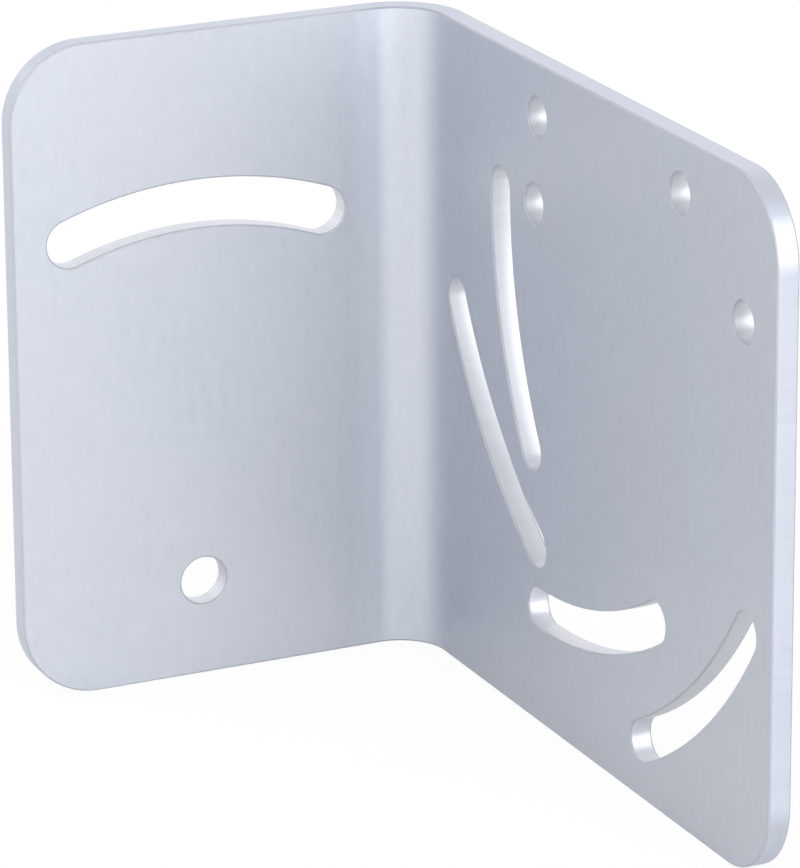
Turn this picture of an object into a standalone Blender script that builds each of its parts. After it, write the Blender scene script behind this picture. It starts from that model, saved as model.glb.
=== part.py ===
"""Sensor mounting bracket, cut from one steel sheet and folded once to a right angle.

The mounting leaf faces along Y and carries a pivot hole with a slot that swings about it.
The sensor leaf faces along X and carries four sensor holes, each the centre of an arc slot.
The bracket stands on its bottom edges, and its origin is below the middle of its box.
Each leaf has its own plane for its holes: out is measured from the inner face of the other
leaf, and up from the bottom edge.
"""
import math

import bmesh
import bpy
from mathutils import Matrix

# Sheet, in metres
SHEET_THICKNESS = 0.0030
INSIDE_BEND_RADIUS = 0.0064
CORNER_RADIUS = 0.0103
EDGE_BREAK = 0.00025

# Mounting leaf
PIVOT_HOLE_DIAMETER = 0.0064
PIVOT_HEIGHT = 0.0129
SWING_RADIUS = 0.05155
SWING_SLOT_WIDTH = 0.0064
SWING_ANGLE = math.radians(40.0)
SWING_SLOT_FOLD_MARGIN = 0.0045
SWING_SLOT_END_MARGIN = 0.00465

# Sensor leaf: the sensor's two screws stand a short or a long pitch apart
SENSOR_HOLE_DIAMETER = 0.0052
ARC_SLOT_WIDTH = 0.0054
SHORT_PITCH = 0.0651
PITCH_STEP = 0.00365
ARC_SWEEP = math.radians(30.0)
SHORT_SLOT_LEAD = math.radians(0.4)
LONG_SLOT_LEAD = math.radians(26.1)

# Metal left between the slanting slot and its two neighbours, the upright and level slots.
# The turn is how far along the slanting slot the upright slot's lower end stands.
UPRIGHT_SLOT_WEB = 0.00367
UPRIGHT_SLOT_TURN = math.radians(21.95)
LEVEL_SLOT_WEB = 0.0027

# Step between the two sensor holes nearest the fold
NEAR_HOLES_OUT = 0.0009
NEAR_HOLES_DROP = 0.01146

# Metal left between the sensor leaf's outermost cuts and the edges of the sheet
FOLD_MARGIN = 0.0018
END_MARGIN = 0.00395
TOP_MARGIN = 0.00425
BOTTOM_MARGIN = 0.00475

# How finely round shapes are divided
FOLD_SEGMENTS = 12
CORNER_SEGMENTS = 12
HOLE_SEGMENTS = 32
SLOT_END_SEGMENTS = 12
ARC_STEP = math.radians(3.75)
ROUND_SHAPE_ANGLE = math.radians(30.0)
MERGE_DISTANCE = 0.000001

LEFT = math.pi
DOWN = 1.5 * math.pi
UP = 0.5 * math.pi


def arc_points(centre, radius, start, sweep, steps):
    """Points on an arc, its two ends among them."""
    angles = [start + sweep * step / steps for step in range(steps + 1)]
    return [
        (centre[0] + radius * math.cos(angle), centre[1] + radius * math.sin(angle))
        for angle in angles
    ]


def slot_outline(pivot, radius, width, start, sweep):
    """Outline of a slot with round ends whose middle line is an arc about the pivot."""
    steps = math.ceil(sweep / ARC_STEP)
    first, last = arc_points(pivot, radius, start, sweep, 1)
    outer = arc_points(pivot, radius + width / 2, start, sweep, steps)
    far_end = arc_points(last, width / 2, start + sweep, math.pi, SLOT_END_SEGMENTS)
    inner = arc_points(pivot, radius - width / 2, start + sweep, -sweep, steps)
    near_end = arc_points(first, width / 2, start + math.pi, math.pi, SLOT_END_SEGMENTS)
    return outer + far_end[1:-1] + inner + near_end[1:-1]


def hole_outline(centre, diameter):
    """Outline of a round hole."""
    full_turn = arc_points(centre, diameter / 2, 0.0, 2 * math.pi, HOLE_SEGMENTS)
    return full_turn[:-1]


def step(point, out, up):
    """The point moved out from the fold and up."""
    return (point[0] + out, point[1] + up)


def around(centre, radius, angle):
    """The point at an angle on a circle."""
    return step(centre, radius * math.cos(angle), radius * math.sin(angle))


def sensor_leaf_cuts():
    """Outlines of the sensor leaf's cuts, measured from the slanting slot's upper end.

    Each slot's middle line is an arc about its own hole, a pitch away from it. The upright
    slot stands inside the slanting slot's arc, and the level slot starts below that arc's
    end, with the upper hole nearest the fold straight above.
    """
    long_pitch = SHORT_PITCH + PITCH_STEP
    short_left = LEFT + SHORT_SLOT_LEAD
    long_left = LEFT + LONG_SLOT_LEAD
    short_down = DOWN + SHORT_SLOT_LEAD
    long_down = DOWN + LONG_SLOT_LEAD

    upper_far = around((0.0, 0.0), -long_pitch, long_left)
    slanting_end = around(upper_far, long_pitch, long_left + ARC_SWEEP)
    inner_radius = long_pitch - ARC_SLOT_WIDTH - UPRIGHT_SLOT_WEB
    upright_end = around(upper_far, inner_radius, long_left + UPRIGHT_SLOT_TURN)
    lower_far = around(upright_end, -SHORT_PITCH, short_left + ARC_SWEEP)
    level_start_drop = ARC_SLOT_WIDTH + LEVEL_SLOT_WEB
    upper_near_rise = -SHORT_PITCH * math.sin(short_down) - level_start_drop
    upper_near = step(slanting_end, 0.0, upper_near_rise)
    lower_near = step(upper_near, -NEAR_HOLES_OUT, -NEAR_HOLES_DROP)
    swings = (
        (upper_near, SHORT_PITCH, short_down),
        (lower_near, long_pitch, long_down),
        (upper_far, long_pitch, long_left),
        (lower_far, SHORT_PITCH, short_left),
    )
    holes = [hole_outline(pivot, SENSOR_HOLE_DIAMETER) for pivot, pitch, start in swings]
    slots = [
        slot_outline(pivot, pitch, ARC_SLOT_WIDTH, start, ARC_SWEEP)
        for pivot, pitch, start in swings
    ]
    return holes + slots


def mounting_leaf_cuts():
    """Outlines of the mounting leaf's cuts, with the pivot hole at out = 0."""
    pivot = (0.0, PIVOT_HEIGHT)
    start = UP - SWING_ANGLE / 2
    return [
        hole_outline(pivot, PIVOT_HOLE_DIAMETER),
        slot_outline(pivot, SWING_RADIUS, SWING_SLOT_WIDTH, start, SWING_ANGLE),
    ]


def reach(outlines, axis):
    """Lowest and highest value that the outlines reach along one axis."""
    values = [point[axis] for outline in outlines for point in outline]
    return min(values), max(values)


def shifted(outlines, out, up):
    """The outlines, moved out from the fold and up."""
    return [[step(point, out, up) for point in outline] for outline in outlines]


def fold_sheet(mounting_length, sensor_length, height):
    """The sheet's inner surface: two leaves, the fold between them and round free corners."""
    inner_x = mounting_length / 2 - SHEET_THICKNESS
    inner_y = sensor_length / 2 - SHEET_THICKNESS
    bm = bmesh.new()
    path = [
        bm.verts.new((-mounting_length / 2, inner_y, 0.0)),
        bm.verts.new((inner_x, inner_y, 0.0)),
        bm.verts.new((inner_x, -sensor_length / 2, 0.0)),
    ]
    bottom = [bm.edges.new(pair) for pair in zip(path, path[1:])]
    raised = bmesh.ops.extrude_edge_only(bm, edges=bottom)["geom"]
    top = [item for item in raised if isinstance(item, bmesh.types.BMVert)]
    bmesh.ops.translate(bm, verts=top, vec=(0.0, 0.0, height))
    fold = [edge for edge in bm.edges if len(edge.link_faces) == 2]
    bmesh.ops.bevel(
        bm, geom=fold, offset=INSIDE_BEND_RADIUS, offset_type="OFFSET",
        segments=FOLD_SEGMENTS, profile=0.5, affect="EDGES", material=-1,
    )
    corners = [vert for vert in bm.verts if len(vert.link_faces) == 1]
    bmesh.ops.bevel(
        bm, geom=corners, offset=CORNER_RADIUS, offset_type="OFFSET",
        segments=CORNER_SEGMENTS, profile=0.5, affect="VERTICES", material=-1,
    )
    bmesh.ops.recalc_face_normals(bm, faces=bm.faces)
    towards_mounting_face = max(bm.faces, key=lambda face: face.calc_center_median().y)
    if towards_mounting_face.normal.y < 0:
        bmesh.ops.reverse_faces(bm, faces=bm.faces)
    mesh = bpy.data.meshes.new("bracket")
    bm.to_mesh(mesh)
    bm.free()
    return mesh


def cutter(name, outline, leaf_plane, collection):
    """A solid of the outline that passes right through the sheet of one leaf."""
    curve = bpy.data.curves.new(name, "CURVE")
    curve.dimensions = "2D"
    curve.fill_mode = "BOTH"
    curve.extrude = SHEET_THICKNESS
    spline = curve.splines.new("POLY")
    spline.points.add(len(outline) - 1)
    for point, (out, up) in zip(spline.points, outline):
        point.co = (out, up, 0.0, 1.0)
    spline.use_cyclic_u = True
    flat = bpy.data.objects.new(name + "_outline", curve)
    collection.objects.link(flat)
    flat.matrix_world = leaf_plane
    bpy.context.view_layer.update()
    evaluated = flat.evaluated_get(bpy.context.evaluated_depsgraph_get())
    mesh = bpy.data.meshes.new_from_object(evaluated)
    bm = bmesh.new()
    bm.from_mesh(mesh)
    bmesh.ops.remove_doubles(bm, verts=bm.verts, dist=MERGE_DISTANCE)
    bmesh.ops.recalc_face_normals(bm, faces=bm.faces)
    bm.to_mesh(mesh)
    bm.free()
    solid = bpy.data.objects.new(name, mesh)
    collection.objects.link(solid)
    solid.matrix_world = flat.matrix_world.copy()
    solid.hide_render = True
    solid.display_type = "WIRE"
    bpy.data.objects.remove(flat)


def satin_steel():
    """Bare satin steel with a cool tint."""
    material = bpy.data.materials.new("satin_steel")
    material.use_nodes = True
    shader = material.node_tree.nodes["Principled BSDF"]
    shader.inputs["Base Color"].default_value = (0.56, 0.58, 0.62, 1.0)
    shader.inputs["Metallic"].default_value = 1.0
    shader.inputs["Roughness"].default_value = 0.42
    return material


def new_collection(name):
    """A collection in the scene."""
    collection = bpy.data.collections.new(name)
    bpy.context.scene.collection.children.link(collection)
    return collection


def build():
    """The folded sheet, cut and with its edges broken."""
    for existing in list(bpy.data.objects):
        bpy.data.objects.remove(existing)
    part = new_collection("sensor_mounting_bracket")
    cutters = new_collection("cutters")

    sensor_cuts = sensor_leaf_cuts()
    sensor_near, sensor_far = reach(sensor_cuts, 0)
    sensor_low, sensor_high = reach(sensor_cuts, 1)
    mounting_cuts = mounting_leaf_cuts()
    mounting_near, mounting_far = reach(mounting_cuts, 0)

    sensor_out = INSIDE_BEND_RADIUS + FOLD_MARGIN - sensor_near
    sensor_up = BOTTOM_MARGIN - sensor_low
    mounting_out = INSIDE_BEND_RADIUS + SWING_SLOT_FOLD_MARGIN - mounting_near
    height = sensor_up + sensor_high + TOP_MARGIN
    sensor_length = SHEET_THICKNESS + sensor_out + sensor_far + END_MARGIN
    mounting_length = SHEET_THICKNESS + mounting_out + mounting_far + SWING_SLOT_END_MARGIN

    inner_x = mounting_length / 2 - SHEET_THICKNESS
    inner_y = sensor_length / 2 - SHEET_THICKNESS
    upright = Matrix.Rotation(math.pi / 2, 4, "X")
    mounting_plane = (
        Matrix.Translation((inner_x, inner_y + SHEET_THICKNESS / 2, 0.0))
        @ Matrix.Rotation(math.pi, 4, "Z") @ upright
    )
    sensor_plane = (
        Matrix.Translation((inner_x + SHEET_THICKNESS / 2, inner_y, 0.0))
        @ Matrix.Rotation(-math.pi / 2, 4, "Z") @ upright
    )
    for number, outline in enumerate(shifted(mounting_cuts, mounting_out, 0.0)):
        cutter(f"mounting_cut_{number}", outline, mounting_plane, cutters)
    for number, outline in enumerate(shifted(sensor_cuts, sensor_out, sensor_up)):
        cutter(f"sensor_cut_{number}", outline, sensor_plane, cutters)

    bracket = bpy.data.objects.new("bracket", fold_sheet(mounting_length, sensor_length, height))
    part.objects.link(bracket)
    bracket.data.materials.append(satin_steel())
    thickness = bracket.modifiers.new("sheet thickness", "SOLIDIFY")
    thickness.thickness = SHEET_THICKNESS
    thickness.offset = 1.0
    thickness.use_even_offset = True
    cuts = bracket.modifiers.new("holes and slots", "BOOLEAN")
    cuts.operation = "DIFFERENCE"
    cuts.solver = "EXACT"
    cuts.operand_type = "COLLECTION"
    cuts.collection = cutters
    edges = bracket.modifiers.new("broken edges", "BEVEL")
    edges.width = EDGE_BREAK
    edges.segments = 1
    edges.limit_method = "ANGLE"
    edges.angle_limit = ROUND_SHAPE_ANGLE
    bracket.data.shade_smooth()
    bracket.data.set_sharp_from_angle(angle=ROUND_SHAPE_ANGLE)


build()
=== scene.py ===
"""Finish, light and camera for the folded sensor mounting bracket.

The sheet is punched flat, its edges are tumbled, and then it is folded once, as the real
bracket is made. In the flat blank the inner face lies up at z = 0: x runs along the sheet
from the middle of the fold, mounting leaf to the left and sensor leaf to the right, and y
is the height. A place on a leaf is given by out, measured from the inner face of the other
leaf, and by up, measured from the bottom edge.
"""
import math

import bmesh
import bpy
from mathutils import Matrix, Vector


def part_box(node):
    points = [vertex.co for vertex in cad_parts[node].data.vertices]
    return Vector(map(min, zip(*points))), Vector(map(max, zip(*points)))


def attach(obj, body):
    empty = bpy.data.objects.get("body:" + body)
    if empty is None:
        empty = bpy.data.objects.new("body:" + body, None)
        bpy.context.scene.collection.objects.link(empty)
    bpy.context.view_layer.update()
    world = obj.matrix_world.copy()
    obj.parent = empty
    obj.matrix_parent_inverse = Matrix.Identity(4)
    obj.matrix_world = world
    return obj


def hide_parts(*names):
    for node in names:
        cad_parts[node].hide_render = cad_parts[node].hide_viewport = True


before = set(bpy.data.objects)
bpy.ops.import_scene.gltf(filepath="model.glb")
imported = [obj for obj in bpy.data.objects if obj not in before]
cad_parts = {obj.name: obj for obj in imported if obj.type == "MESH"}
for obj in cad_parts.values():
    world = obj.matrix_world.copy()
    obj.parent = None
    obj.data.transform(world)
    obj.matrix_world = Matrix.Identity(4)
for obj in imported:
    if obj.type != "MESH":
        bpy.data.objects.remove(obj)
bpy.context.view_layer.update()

LOW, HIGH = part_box("bracket")
HEIGHT = HIGH[2] - LOW[2]

# Sheet, in metres
SHEET_THICKNESS = 0.0030
INSIDE_BEND_RADIUS = 0.0064
CORNER_RADIUS = 0.0103
EDGE_ROUND = 0.00025
# The punches start one thickness above the sheet and end one below it
PUNCH_LENGTH = 3 * SHEET_THICKNESS

# Mounting leaf
PIVOT_HOLE_DIAMETER = 0.0064
PIVOT_HEIGHT = 0.0129
SWING_RADIUS = 0.05155
SWING_SLOT_WIDTH = 0.0064
SWING_ANGLE = math.radians(40.0)
SWING_SLOT_END_MARGIN = 0.00465

# Sensor leaf
SENSOR_HOLE_DIAMETER = 0.0052
ARC_SLOT_WIDTH = 0.0054
SHORT_PITCH = 0.0651
PITCH_STEP = 0.00365
ARC_SWEEP = math.radians(30.0)
SHORT_SLOT_LEAD = math.radians(0.4)
LONG_SLOT_LEAD = math.radians(26.1)
UPRIGHT_SLOT_WEB = 0.00367
UPRIGHT_SLOT_TURN = math.radians(21.95)
LEVEL_SLOT_WEB = 0.0027
NEAR_HOLES_OUT = 0.0009
NEAR_HOLES_DROP = 0.01146
END_MARGIN = 0.00395
TOP_MARGIN = 0.00425

# Material slots: the rolled faces, the sheet's outer edge, the cut walls with their painted light
# and the rounded rims with their painted shade
FACE, EDGE, WALL, RIM = range(4)
# A face of the flat blank whose normal rises more than this is a rolled face
LEVEL_NORMAL = 0.5

# How finely round shapes are divided
FOLD_STEPS = 32
CORNER_STEPS = 24
HOLE_STEPS = 72
ROUND_END_STEPS = 24
ARC_STEP = math.radians(1.25)
EDGE_ROUND_STEPS = 3
# Sharper edges than this are tumbled round, and points nearer than this are one point
SHARP_ANGLE = math.radians(30.0)
MERGE_DISTANCE = 0.000002

# Camera
CAMERA_PLACE = (-0.274595, -0.598608, 0.268436)
CAMERA_TURN = tuple(math.radians(angle) for angle in (71.3974, 0.3531, -24.9285))
CAMERA_LENS = 234.675

# The metal's grain: features per metre and levels of finer detail in each kind of noise
STREAK_SCALE, STREAK_DETAIL = 900.0, 4.0
CLOUD_SCALE, CLOUD_DETAIL = 60.0, 3.0
TINT_SCALE, TINT_DETAIL = 35.0, 2.0
# The usual range of the noise, and how far each kind shifts the colour over it
NOISE_RANGE = (0.3, 0.7)
STREAK_SHARE = (0.0, 1.0)
CLOUD_SHARE = (0.0, 0.5)
TINT_SHARE = (0.0, 0.5)
BUMP_STRENGTH = 0.5

# Folding stretches the skin of the metal and dulls it: the roughness that it adds in the
# fold, and the distance over which that fades out on each leaf
FOLD_DULLING = 0.14
FOLD_FADE = 0.0035

# The room is plain white
WHITE = (1.0, 1.0, 1.0, 1.0)
ROOM_LEVEL = 1.0
# Each soft light: its turn in degrees from the front towards +X, its height in degrees,
# its level and how narrow it is
SOFT_LIGHTS = (
    (2.0, 18.0, 9.3, 18.0),
    (-78.0, 0.0, 5.7, 18.0),
    (-121.0, 42.0, 1.95, 18.0),
    (150.0, 25.0, 0.3, 8.0),
)
# The floor: its colour, how much of what the camera sees is plain white, and half its width
FLOOR_COLOUR = (0.70, 0.70, 0.70, 1.0)
FLOOR_GLOW_SHARE = 0.92
FLOOR_REACH = 3.0

# Where the fold lies, and how far each leaf reaches from the other leaf's inner face
INNER_X = HIGH[0] - SHEET_THICKNESS
INNER_Y = HIGH[1] - SHEET_THICKNESS
FOLD_LENGTH = (INSIDE_BEND_RADIUS + SHEET_THICKNESS / 2) * math.pi / 2
FOLD_CENTRE = Vector((INNER_X - INSIDE_BEND_RADIUS, INNER_Y - INSIDE_BEND_RADIUS, 0.0))
LEAF_START = FOLD_LENGTH / 2 - INSIDE_BEND_RADIUS
SENSOR_LEAF_REACH = INNER_Y - LOW[1]
MOUNTING_LEAF_REACH = INNER_X - LOW[0]

# Directions in the flat blank
LEFT = math.pi
DOWN = 1.5 * math.pi
UP = 0.5 * math.pi


def around(centre, radius, angle):
    """The point at an angle on a circle."""
    return centre + radius * Vector((math.cos(angle), math.sin(angle)))


def slot_end_reach(pivot, radius, width, angle, axis):
    """How far a slot's round end reaches along one axis."""
    return around(pivot, radius, angle)[axis] + width / 2


def sensor_leaf_swings():
    """Each sensor hole with the radius and start of the arc slot about it."""
    long_pitch = SHORT_PITCH + PITCH_STEP
    short_left = LEFT + SHORT_SLOT_LEAD
    long_left = LEFT + LONG_SLOT_LEAD
    short_down = DOWN + SHORT_SLOT_LEAD
    long_down = DOWN + LONG_SLOT_LEAD

    upper_far = around(Vector((0.0, 0.0)), -long_pitch, long_left)
    slanting_end = around(upper_far, long_pitch, long_left + ARC_SWEEP)
    inner_radius = long_pitch - ARC_SLOT_WIDTH - UPRIGHT_SLOT_WEB
    upright_end = around(upper_far, inner_radius, long_left + UPRIGHT_SLOT_TURN)
    lower_far = around(upright_end, -SHORT_PITCH, short_left + ARC_SWEEP)
    level_start_drop = ARC_SLOT_WIDTH + LEVEL_SLOT_WEB
    upper_near_rise = -SHORT_PITCH * math.sin(short_down) - level_start_drop
    upper_near = slanting_end + Vector((0.0, upper_near_rise))
    lower_near = upper_near - Vector((NEAR_HOLES_OUT, NEAR_HOLES_DROP))

    corner_end = slot_end_reach(lower_near, long_pitch, ARC_SLOT_WIDTH, long_down + ARC_SWEEP, 0)
    top = max(upper_near.y, upper_far.y) + SENSOR_HOLE_DIAMETER / 2
    place = Vector((SENSOR_LEAF_REACH - END_MARGIN - corner_end, HEIGHT - TOP_MARGIN - top))
    return [
        (upper_near + place, SHORT_PITCH, short_down),
        (lower_near + place, long_pitch, long_down),
        (upper_far + place, long_pitch, long_left),
        (lower_far + place, SHORT_PITCH, short_left),
    ]


def mounting_leaf_pivot():
    """The pivot hole's place on the mounting leaf."""
    pivot = Vector((0.0, PIVOT_HEIGHT))
    reach = slot_end_reach(pivot, SWING_RADIUS, SWING_SLOT_WIDTH, UP - SWING_ANGLE / 2, 0)
    return pivot + Vector((MOUNTING_LEAF_REACH - SWING_SLOT_END_MARGIN - reach, 0.0))


def carry_round(bm, tip, centre, angle, steps):
    """Turn a point about a centre so that it draws an arc, and return the arc's last point."""
    drawn = bmesh.ops.spin(
        bm, geom=[tip], cent=centre.to_3d(), axis=(0.0, 0.0, 1.0), angle=angle, steps=steps,
        use_merge=False, use_normal_flip=False, use_duplicate=False,
    )
    return drawn["geom_last"][0]


def draw_slot(bm, pivot, radius, width, start, sweep):
    """Draw a slot with round ends by carrying one point round its outline."""
    first = around(pivot, radius, start)
    last = around(pivot, radius, start + sweep)
    arc_steps = math.ceil(sweep / ARC_STEP)
    tip = bm.verts.new(around(pivot, radius + width / 2, start).to_3d())
    tip = carry_round(bm, tip, pivot, sweep, arc_steps)
    tip = carry_round(bm, tip, last, math.pi, ROUND_END_STEPS)
    tip = carry_round(bm, tip, pivot, -sweep, arc_steps)
    carry_round(bm, tip, first, math.pi, ROUND_END_STEPS)


def draw_hole(bm, centre, diameter):
    """Draw a round hole."""
    bmesh.ops.create_circle(
        bm, cap_ends=False, radius=diameter / 2, segments=HOLE_STEPS,
        matrix=Matrix.Translation(centre.to_3d()),
    )


def thicken(bm, depth):
    """Draw flat faces down into a solid of that depth."""
    raised = bmesh.ops.extrude_face_region(bm, geom=bm.faces[:], use_keep_orig=True)["geom"]
    moved = [item for item in raised if isinstance(item, bmesh.types.BMVert)]
    bmesh.ops.translate(bm, verts=moved, vec=(0.0, 0.0, -depth))
    bmesh.ops.recalc_face_normals(bm, faces=bm.faces)


def scene_object(name, bm):
    """A new object in the scene from a bmesh."""
    mesh = bpy.data.meshes.new(name)
    bm.to_mesh(mesh)
    bm.free()
    made = bpy.data.objects.new(name, mesh)
    bpy.context.scene.collection.objects.link(made)
    return made


def punches():
    """One solid punch for each hole and slot, set out on the flat blank."""
    bm = bmesh.new()
    for place, pitch, start in sensor_leaf_swings():
        centre = place + Vector((LEAF_START, 0.0))
        draw_hole(bm, centre, SENSOR_HOLE_DIAMETER)
        draw_slot(bm, centre, pitch, ARC_SLOT_WIDTH, start, ARC_SWEEP)
    place = mounting_leaf_pivot()
    centre = Vector((-LEAF_START - place.x, place.y))
    draw_hole(bm, centre, PIVOT_HOLE_DIAMETER)
    draw_slot(bm, centre, SWING_RADIUS, SWING_SLOT_WIDTH, UP - SWING_ANGLE / 2, SWING_ANGLE)
    bmesh.ops.remove_doubles(bm, verts=bm.verts, dist=MERGE_DISTANCE)
    bmesh.ops.edgeloop_fill(bm, edges=bm.edges[:])
    bmesh.ops.translate(bm, verts=bm.verts, vec=(0.0, 0.0, SHEET_THICKNESS))
    thicken(bm, PUNCH_LENGTH)
    for face in bm.faces:
        face.material_index = WALL
    return scene_object("punches", bm)


def blank():
    """The flat blank with its four round corners."""
    left = -LEAF_START - MOUNTING_LEAF_REACH
    right = LEAF_START + SENSOR_LEAF_REACH
    bm = bmesh.new()
    place = Matrix.Translation(((left + right) / 2, HEIGHT / 2, 0.0))
    size = Matrix.Diagonal((right - left, HEIGHT, 1.0, 1.0))
    bmesh.ops.create_grid(bm, x_segments=1, y_segments=1, size=0.5, matrix=place @ size)
    bmesh.ops.bevel(
        bm, geom=bm.verts[:], offset=CORNER_RADIUS, offset_type="OFFSET",
        segments=CORNER_STEPS, profile=0.5, affect="VERTICES", material=-1,
    )
    thicken(bm, SHEET_THICKNESS)
    for face in bm.faces:
        face.material_index = FACE if abs(face.normal.z) > LEVEL_NORMAL else EDGE
    return scene_object("blank", bm)


def punch(plate, tools, finishes):
    """The plate's mesh after the punches have gone through it, each cut wall with its finish."""
    for piece in (plate, tools):
        for finish in finishes:
            piece.data.materials.append(finish)
    cut = plate.modifiers.new("punched", "BOOLEAN")
    cut.operation = "DIFFERENCE"
    cut.solver = "EXACT"
    cut.material_mode = "INDEX"
    cut.object = tools
    bpy.context.view_layer.update()
    seen = plate.evaluated_get(bpy.context.evaluated_depsgraph_get())
    mesh = bpy.data.meshes.new_from_object(seen)
    bpy.data.objects.remove(plate)
    bpy.data.objects.remove(tools)
    return mesh


def tumble_edges(bm):
    """Round every edge between a face of the sheet and a cut wall."""
    edges = [edge for edge in bm.edges if edge.calc_face_angle(0.0) > SHARP_ANGLE]
    bmesh.ops.bevel(
        bm, geom=edges, offset=EDGE_ROUND, offset_type="OFFSET",
        segments=EDGE_ROUND_STEPS, profile=0.5, affect="EDGES", material=RIM,
    )


def fold(bm):
    """Fold the blank to a right angle about its middle, inner face to the inside."""
    for step in range(FOLD_STEPS + 1):
        across = FOLD_LENGTH * (step / FOLD_STEPS - 0.5)
        bmesh.ops.bisect_plane(
            bm, geom=bm.verts[:] + bm.edges[:] + bm.faces[:], dist=MERGE_DISTANCE,
            plane_co=(across, 0.0, 0.0), plane_no=(1.0, 0.0, 0.0),
        )
    flat_place = bm.verts.layers.float_vector.new("flat_place")
    for vert in bm.verts:
        vert[flat_place] = vert.co
        run, up, rise = vert.co
        in_fold = min(max(run, -FOLD_LENGTH / 2), FOLD_LENGTH / 2)
        turn = Matrix.Rotation(-(in_fold / FOLD_LENGTH + 0.5) * math.pi / 2, 3, "Z")
        vert.co = FOLD_CENTRE + turn @ Vector((run - in_fold, INSIDE_BEND_RADIUS - rise, up))


def folded_sheet():
    """The finished bracket: punched, tumbled and folded."""
    grain = metal_grain()
    finishes = [satin_face(grain), outer_edge(grain), cut_wall_with_painted_light(grain), rim_with_painted_shade(grain)]
    bm = bmesh.new()
    bm.from_mesh(punch(blank(), punches(), finishes))
    tumble_edges(bm)
    for face in bm.faces:
        face.smooth = True
    fold(bm)
    sheet = scene_object("folded_sheet", bm)
    for finish in finishes:
        sheet.data.materials.append(finish)
    shading = sheet.modifiers.new("flat faces shade flat", "WEIGHTED_NORMAL")
    shading.mode = "FACE_AREA"
    shading.weight = 50
    shading.keep_sharp = False
    return sheet


def add_node(tree, kind, **settings):
    """A node of that kind in the tree, with its settings."""
    node = tree.nodes.new("ShaderNode" + kind)
    for name, value in settings.items():
        setattr(node, name, value)
    return node


def noise(tree, place, scale, detail):
    """Soft noise at a place, about a middle value of one half."""
    node = add_node(tree, "TexNoise")
    node.inputs["Scale"].default_value = scale
    node.inputs["Detail"].default_value = detail
    tree.links.new(place, node.inputs["Vector"])
    return node.outputs["Fac"]


def metal_grain():
    """The metal's unevenness: streaks drawn out along one way, clouds, tint and the fold."""
    group = bpy.data.node_groups.new("metal_grain", "ShaderNodeTree")
    group.interface.new_socket("Place", in_out="INPUT", socket_type="NodeSocketVector")
    group.interface.new_socket("Stretch", in_out="INPUT", socket_type="NodeSocketVector")
    for name in ("Streaks", "Clouds", "Tint", "Fold"):
        group.interface.new_socket(name, in_out="OUTPUT", socket_type="NodeSocketFloat")
    given = group.nodes.new("NodeGroupInput")
    made = group.nodes.new("NodeGroupOutput")
    drawn = add_node(group, "VectorMath", operation="MULTIPLY")
    group.links.new(given.outputs["Place"], drawn.inputs[0])
    group.links.new(given.outputs["Stretch"], drawn.inputs[1])
    streaks = noise(group, drawn.outputs["Vector"], STREAK_SCALE, STREAK_DETAIL)
    clouds = noise(group, given.outputs["Place"], CLOUD_SCALE, CLOUD_DETAIL)
    tint = noise(group, given.outputs["Place"], TINT_SCALE, TINT_DETAIL)
    group.links.new(streaks, made.inputs["Streaks"])
    group.links.new(clouds, made.inputs["Clouds"])
    group.links.new(tint, made.inputs["Tint"])

    along = add_node(group, "SeparateXYZ")
    group.links.new(given.outputs["Place"], along.inputs["Vector"])
    away = add_node(group, "Math", operation="ABSOLUTE")
    group.links.new(along.outputs["X"], away.inputs[0])
    fold_end = FOLD_LENGTH / 2
    fading = (fold_end, fold_end + FOLD_FADE)
    fold_mask = spread(group, away.outputs["Value"], fading, (1.0, 0.0))
    group.links.new(fold_mask, made.inputs["Fold"])
    return group


def new_material(name):
    """A material with its node tree and its shader."""
    material = bpy.data.materials.new(name)
    material.use_nodes = True
    tree = material.node_tree
    return material, tree, tree.nodes["Principled BSDF"]


def blend(tree, low, high, share):
    """A colour between two, by a share."""
    mix = add_node(tree, "Mix", data_type="RGBA")
    for socket, colour in (("A", low), ("B", high)):
        if isinstance(colour, tuple):
            mix.inputs[socket].default_value = colour
        else:
            tree.links.new(colour, mix.inputs[socket])
    tree.links.new(share, mix.inputs["Factor"])
    return mix.outputs["Result"]


def spread(tree, value, given, wanted):
    """A value's given range spread over the wanted one, and held at its ends."""
    node = add_node(tree, "MapRange")
    node.inputs["From Min"].default_value, node.inputs["From Max"].default_value = given
    node.inputs["To Min"].default_value, node.inputs["To Max"].default_value = wanted
    tree.links.new(value, node.inputs["Value"])
    return node.outputs["Result"]


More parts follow.
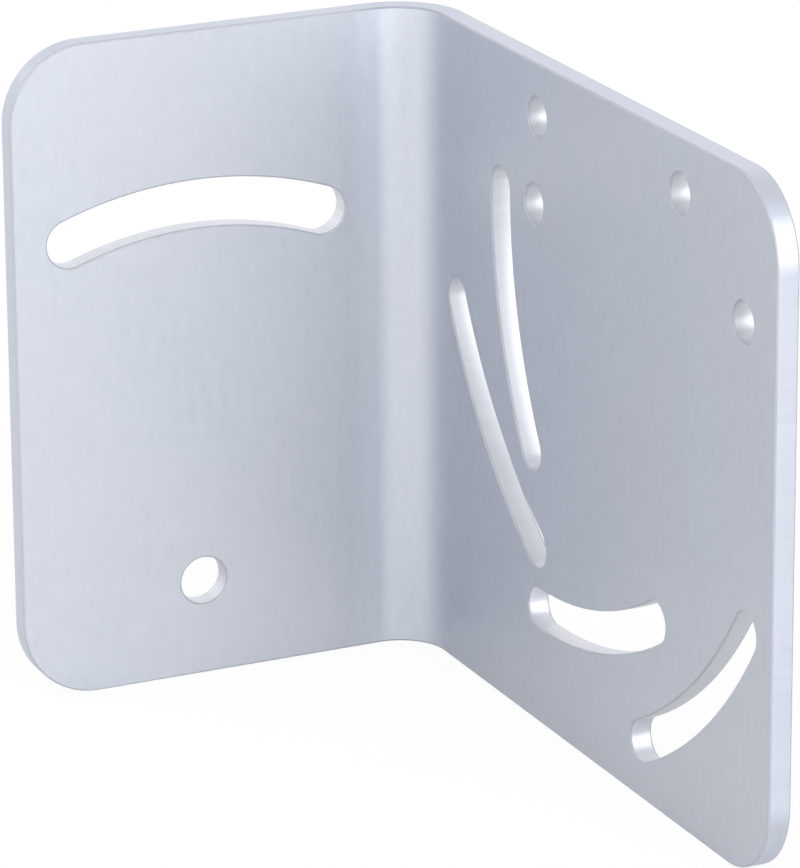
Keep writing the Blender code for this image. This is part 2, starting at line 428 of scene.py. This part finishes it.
def bare_metal(name, grain, stretch, colours, roughness, relief):
    """Bare metal whose colour, roughness and relief follow the grain."""
    material, tree, shader = new_material(name)
    place = add_node(tree, "Attribute", attribute_name="flat_place")
    texture = add_node(tree, "Group", node_tree=grain)
    texture.inputs["Stretch"].default_value = stretch
    tree.links.new(place.outputs["Vector"], texture.inputs["Place"])
    streaks, clouds, tint = (texture.outputs[name] for name in ("Streaks", "Clouds", "Tint"))

    dark, light, warm = colours
    streaky = blend(tree, dark, light, spread(tree, streaks, NOISE_RANGE, STREAK_SHARE))
    clouded = blend(tree, streaky, light, spread(tree, clouds, NOISE_RANGE, CLOUD_SHARE))
    tinted = blend(tree, clouded, warm, spread(tree, tint, NOISE_RANGE, TINT_SHARE))
    tree.links.new(tinted, shader.inputs["Base Color"])
    shader.inputs["Metallic"].default_value = 1.0
    dulled = add_node(tree, "Math", operation="MULTIPLY_ADD")
    dulled.inputs[1].default_value = FOLD_DULLING
    tree.links.new(texture.outputs["Fold"], dulled.inputs[0])
    tree.links.new(spread(tree, streaks, NOISE_RANGE, roughness), dulled.inputs[2])
    tree.links.new(dulled.outputs["Value"], shader.inputs["Roughness"])

    bump = add_node(tree, "Bump")
    bump.inputs["Strength"].default_value = BUMP_STRENGTH
    bump.inputs["Distance"].default_value = relief
    tree.links.new(streaks, bump.inputs["Height"])
    tree.links.new(bump.outputs["Normal"], shader.inputs["Normal"])
    return material


def satin_face(grain):
    """The sheet's two rolled faces, with faint streaks that run up the bracket."""
    colours = ((0.460, 0.487, 0.537, 1.0), (0.504, 0.530, 0.579, 1.0), (0.495, 0.506, 0.556, 1.0))
    return bare_metal(
        "satin_face", grain, stretch=(1.0, 0.35, 1.0), colours=colours,
        roughness=(0.45, 0.47), relief=0.000005,
    )


def outer_edge(grain):
    """The sheet's outer edge, with faint lines through the thickness."""
    colours = ((0.482, 0.513, 0.589, 1.0), (0.529, 0.560, 0.637, 1.0), (0.520, 0.532, 0.608, 1.0))
    return bare_metal(
        "outer_edge", grain, stretch=(1.0, 1.0, 0.05), colours=colours,
        roughness=(0.42, 0.50), relief=0.000010,
    )


def cut_wall_with_painted_light(grain):
    """The walls of the holes and slots, with lines that the cut left in them, painted lighter
    than the outer edge as painted light inside the holes and slots.
    """
    # Painted light: these colours are lighter than the outer edge's so that the walls look lit
    # inside the holes and slots
    colours = ((0.573, 0.590, 0.644, 1.0), (0.660, 0.678, 0.716, 1.0), (0.625, 0.634, 0.680, 1.0))
    return bare_metal(
        "cut_wall_with_painted_light", grain, stretch=(1.0, 1.0, 0.05), colours=colours,
        roughness=(0.45, 0.53), relief=0.000020,
    )


def rim_with_painted_shade(grain):
    """The rims that tumbling rounded and roughened, painted darker than the faces as a painted
    shade line along every edge.
    """
    # Painted shade: these colours are darker than the faces' so that a dark line runs along every
    # rounded edge
    colours = ((0.422, 0.440, 0.485, 1.0), (0.467, 0.485, 0.532, 1.0), (0.449, 0.458, 0.504, 1.0))
    return bare_metal(
        "rim_with_painted_shade", grain, stretch=(1.0, 1.0, 1.0), colours=colours,
        roughness=(0.75, 0.85), relief=0.000010,
    )


def soft_light(tree, direction, turn, height, level, narrowness):
    """A round patch of light in the surround that fades away from its middle."""
    turned = Matrix.Rotation(math.radians(turn), 3, "Z")
    raised = Matrix.Rotation(-math.radians(height), 3, "X")
    middle = turned @ raised @ Vector((0.0, -1.0, 0.0))
    towards = add_node(tree, "VectorMath", operation="DOT_PRODUCT")
    towards.inputs[1].default_value = middle
    fade = add_node(tree, "Math", operation="MULTIPLY_ADD")
    fade.inputs[1].default_value = narrowness
    fade.inputs[2].default_value = -narrowness
    bright = add_node(tree, "Math", operation="EXPONENT")
    scaled = add_node(tree, "Math", operation="MULTIPLY")
    scaled.inputs[1].default_value = level
    tree.links.new(direction, towards.inputs[0])
    tree.links.new(towards.outputs["Value"], fade.inputs[0])
    tree.links.new(fade.outputs["Value"], bright.inputs[0])
    tree.links.new(bright.outputs["Value"], scaled.inputs[0])
    return scaled.outputs["Value"]


def surround():
    """A plain white room, with soft lights that reach the metal but don't show to the camera."""
    world = bpy.data.worlds.new("surround")
    bpy.context.scene.world = world
    world.use_nodes = True
    tree = world.node_tree
    background = tree.nodes["Background"]
    background.inputs["Color"].default_value = WHITE
    direction = add_node(tree, "TexCoord").outputs["Generated"]
    level = add_node(tree, "Value")
    level.outputs["Value"].default_value = ROOM_LEVEL
    total = level.outputs["Value"]
    for light in SOFT_LIGHTS:
        both = add_node(tree, "Math", operation="ADD")
        tree.links.new(total, both.inputs[0])
        tree.links.new(soft_light(tree, direction, *light), both.inputs[1])
        total = both.outputs["Value"]
    paths = add_node(tree, "LightPath")
    shown = add_node(tree, "Mix", data_type="FLOAT")
    shown.inputs["B"].default_value = ROOM_LEVEL
    tree.links.new(paths.outputs["Is Camera Ray"], shown.inputs["Factor"])
    tree.links.new(total, shown.inputs["A"])
    tree.links.new(shown.outputs["Result"], background.inputs["Strength"])


def floor():
    """A white floor that keeps a faint shadow of the bracket."""
    bm = bmesh.new()
    bmesh.ops.create_grid(bm, x_segments=1, y_segments=1, size=FLOOR_REACH)
    plane = scene_object("floor", bm)
    material, tree, shader = new_material("floor")
    shader.inputs["Base Color"].default_value = FLOOR_COLOUR
    shader.inputs["Roughness"].default_value = 1.0
    shader.inputs["Specular IOR Level"].default_value = 0.0
    glow = add_node(tree, "Emission")
    paths = add_node(tree, "LightPath")
    share = add_node(tree, "Math", operation="MULTIPLY")
    share.inputs[1].default_value = FLOOR_GLOW_SHARE
    mix = add_node(tree, "MixShader")
    tree.links.new(paths.outputs["Is Camera Ray"], share.inputs[0])
    tree.links.new(share.outputs["Value"], mix.inputs["Fac"])
    tree.links.new(shader.outputs["BSDF"], mix.inputs[1])
    tree.links.new(glow.outputs["Emission"], mix.inputs[2])
    tree.links.new(mix.outputs["Shader"], tree.nodes["Material Output"].inputs["Surface"])
    plane.data.materials.append(material)


def camera():
    """The camera at the photograph's viewing angle."""
    view = bpy.data.cameras.new("camera")
    view.lens = CAMERA_LENS
    holder = bpy.data.objects.new("camera", view)
    holder.location = CAMERA_PLACE
    holder.rotation_euler = CAMERA_TURN
    bpy.context.scene.collection.objects.link(holder)
    bpy.context.scene.camera = holder


bpy.context.scene.view_settings.view_transform = "Standard"
surround()
floor()
camera()
sheet = folded_sheet()
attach(sheet, "root")
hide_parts("bracket")

bpy.context.view_layer.update()
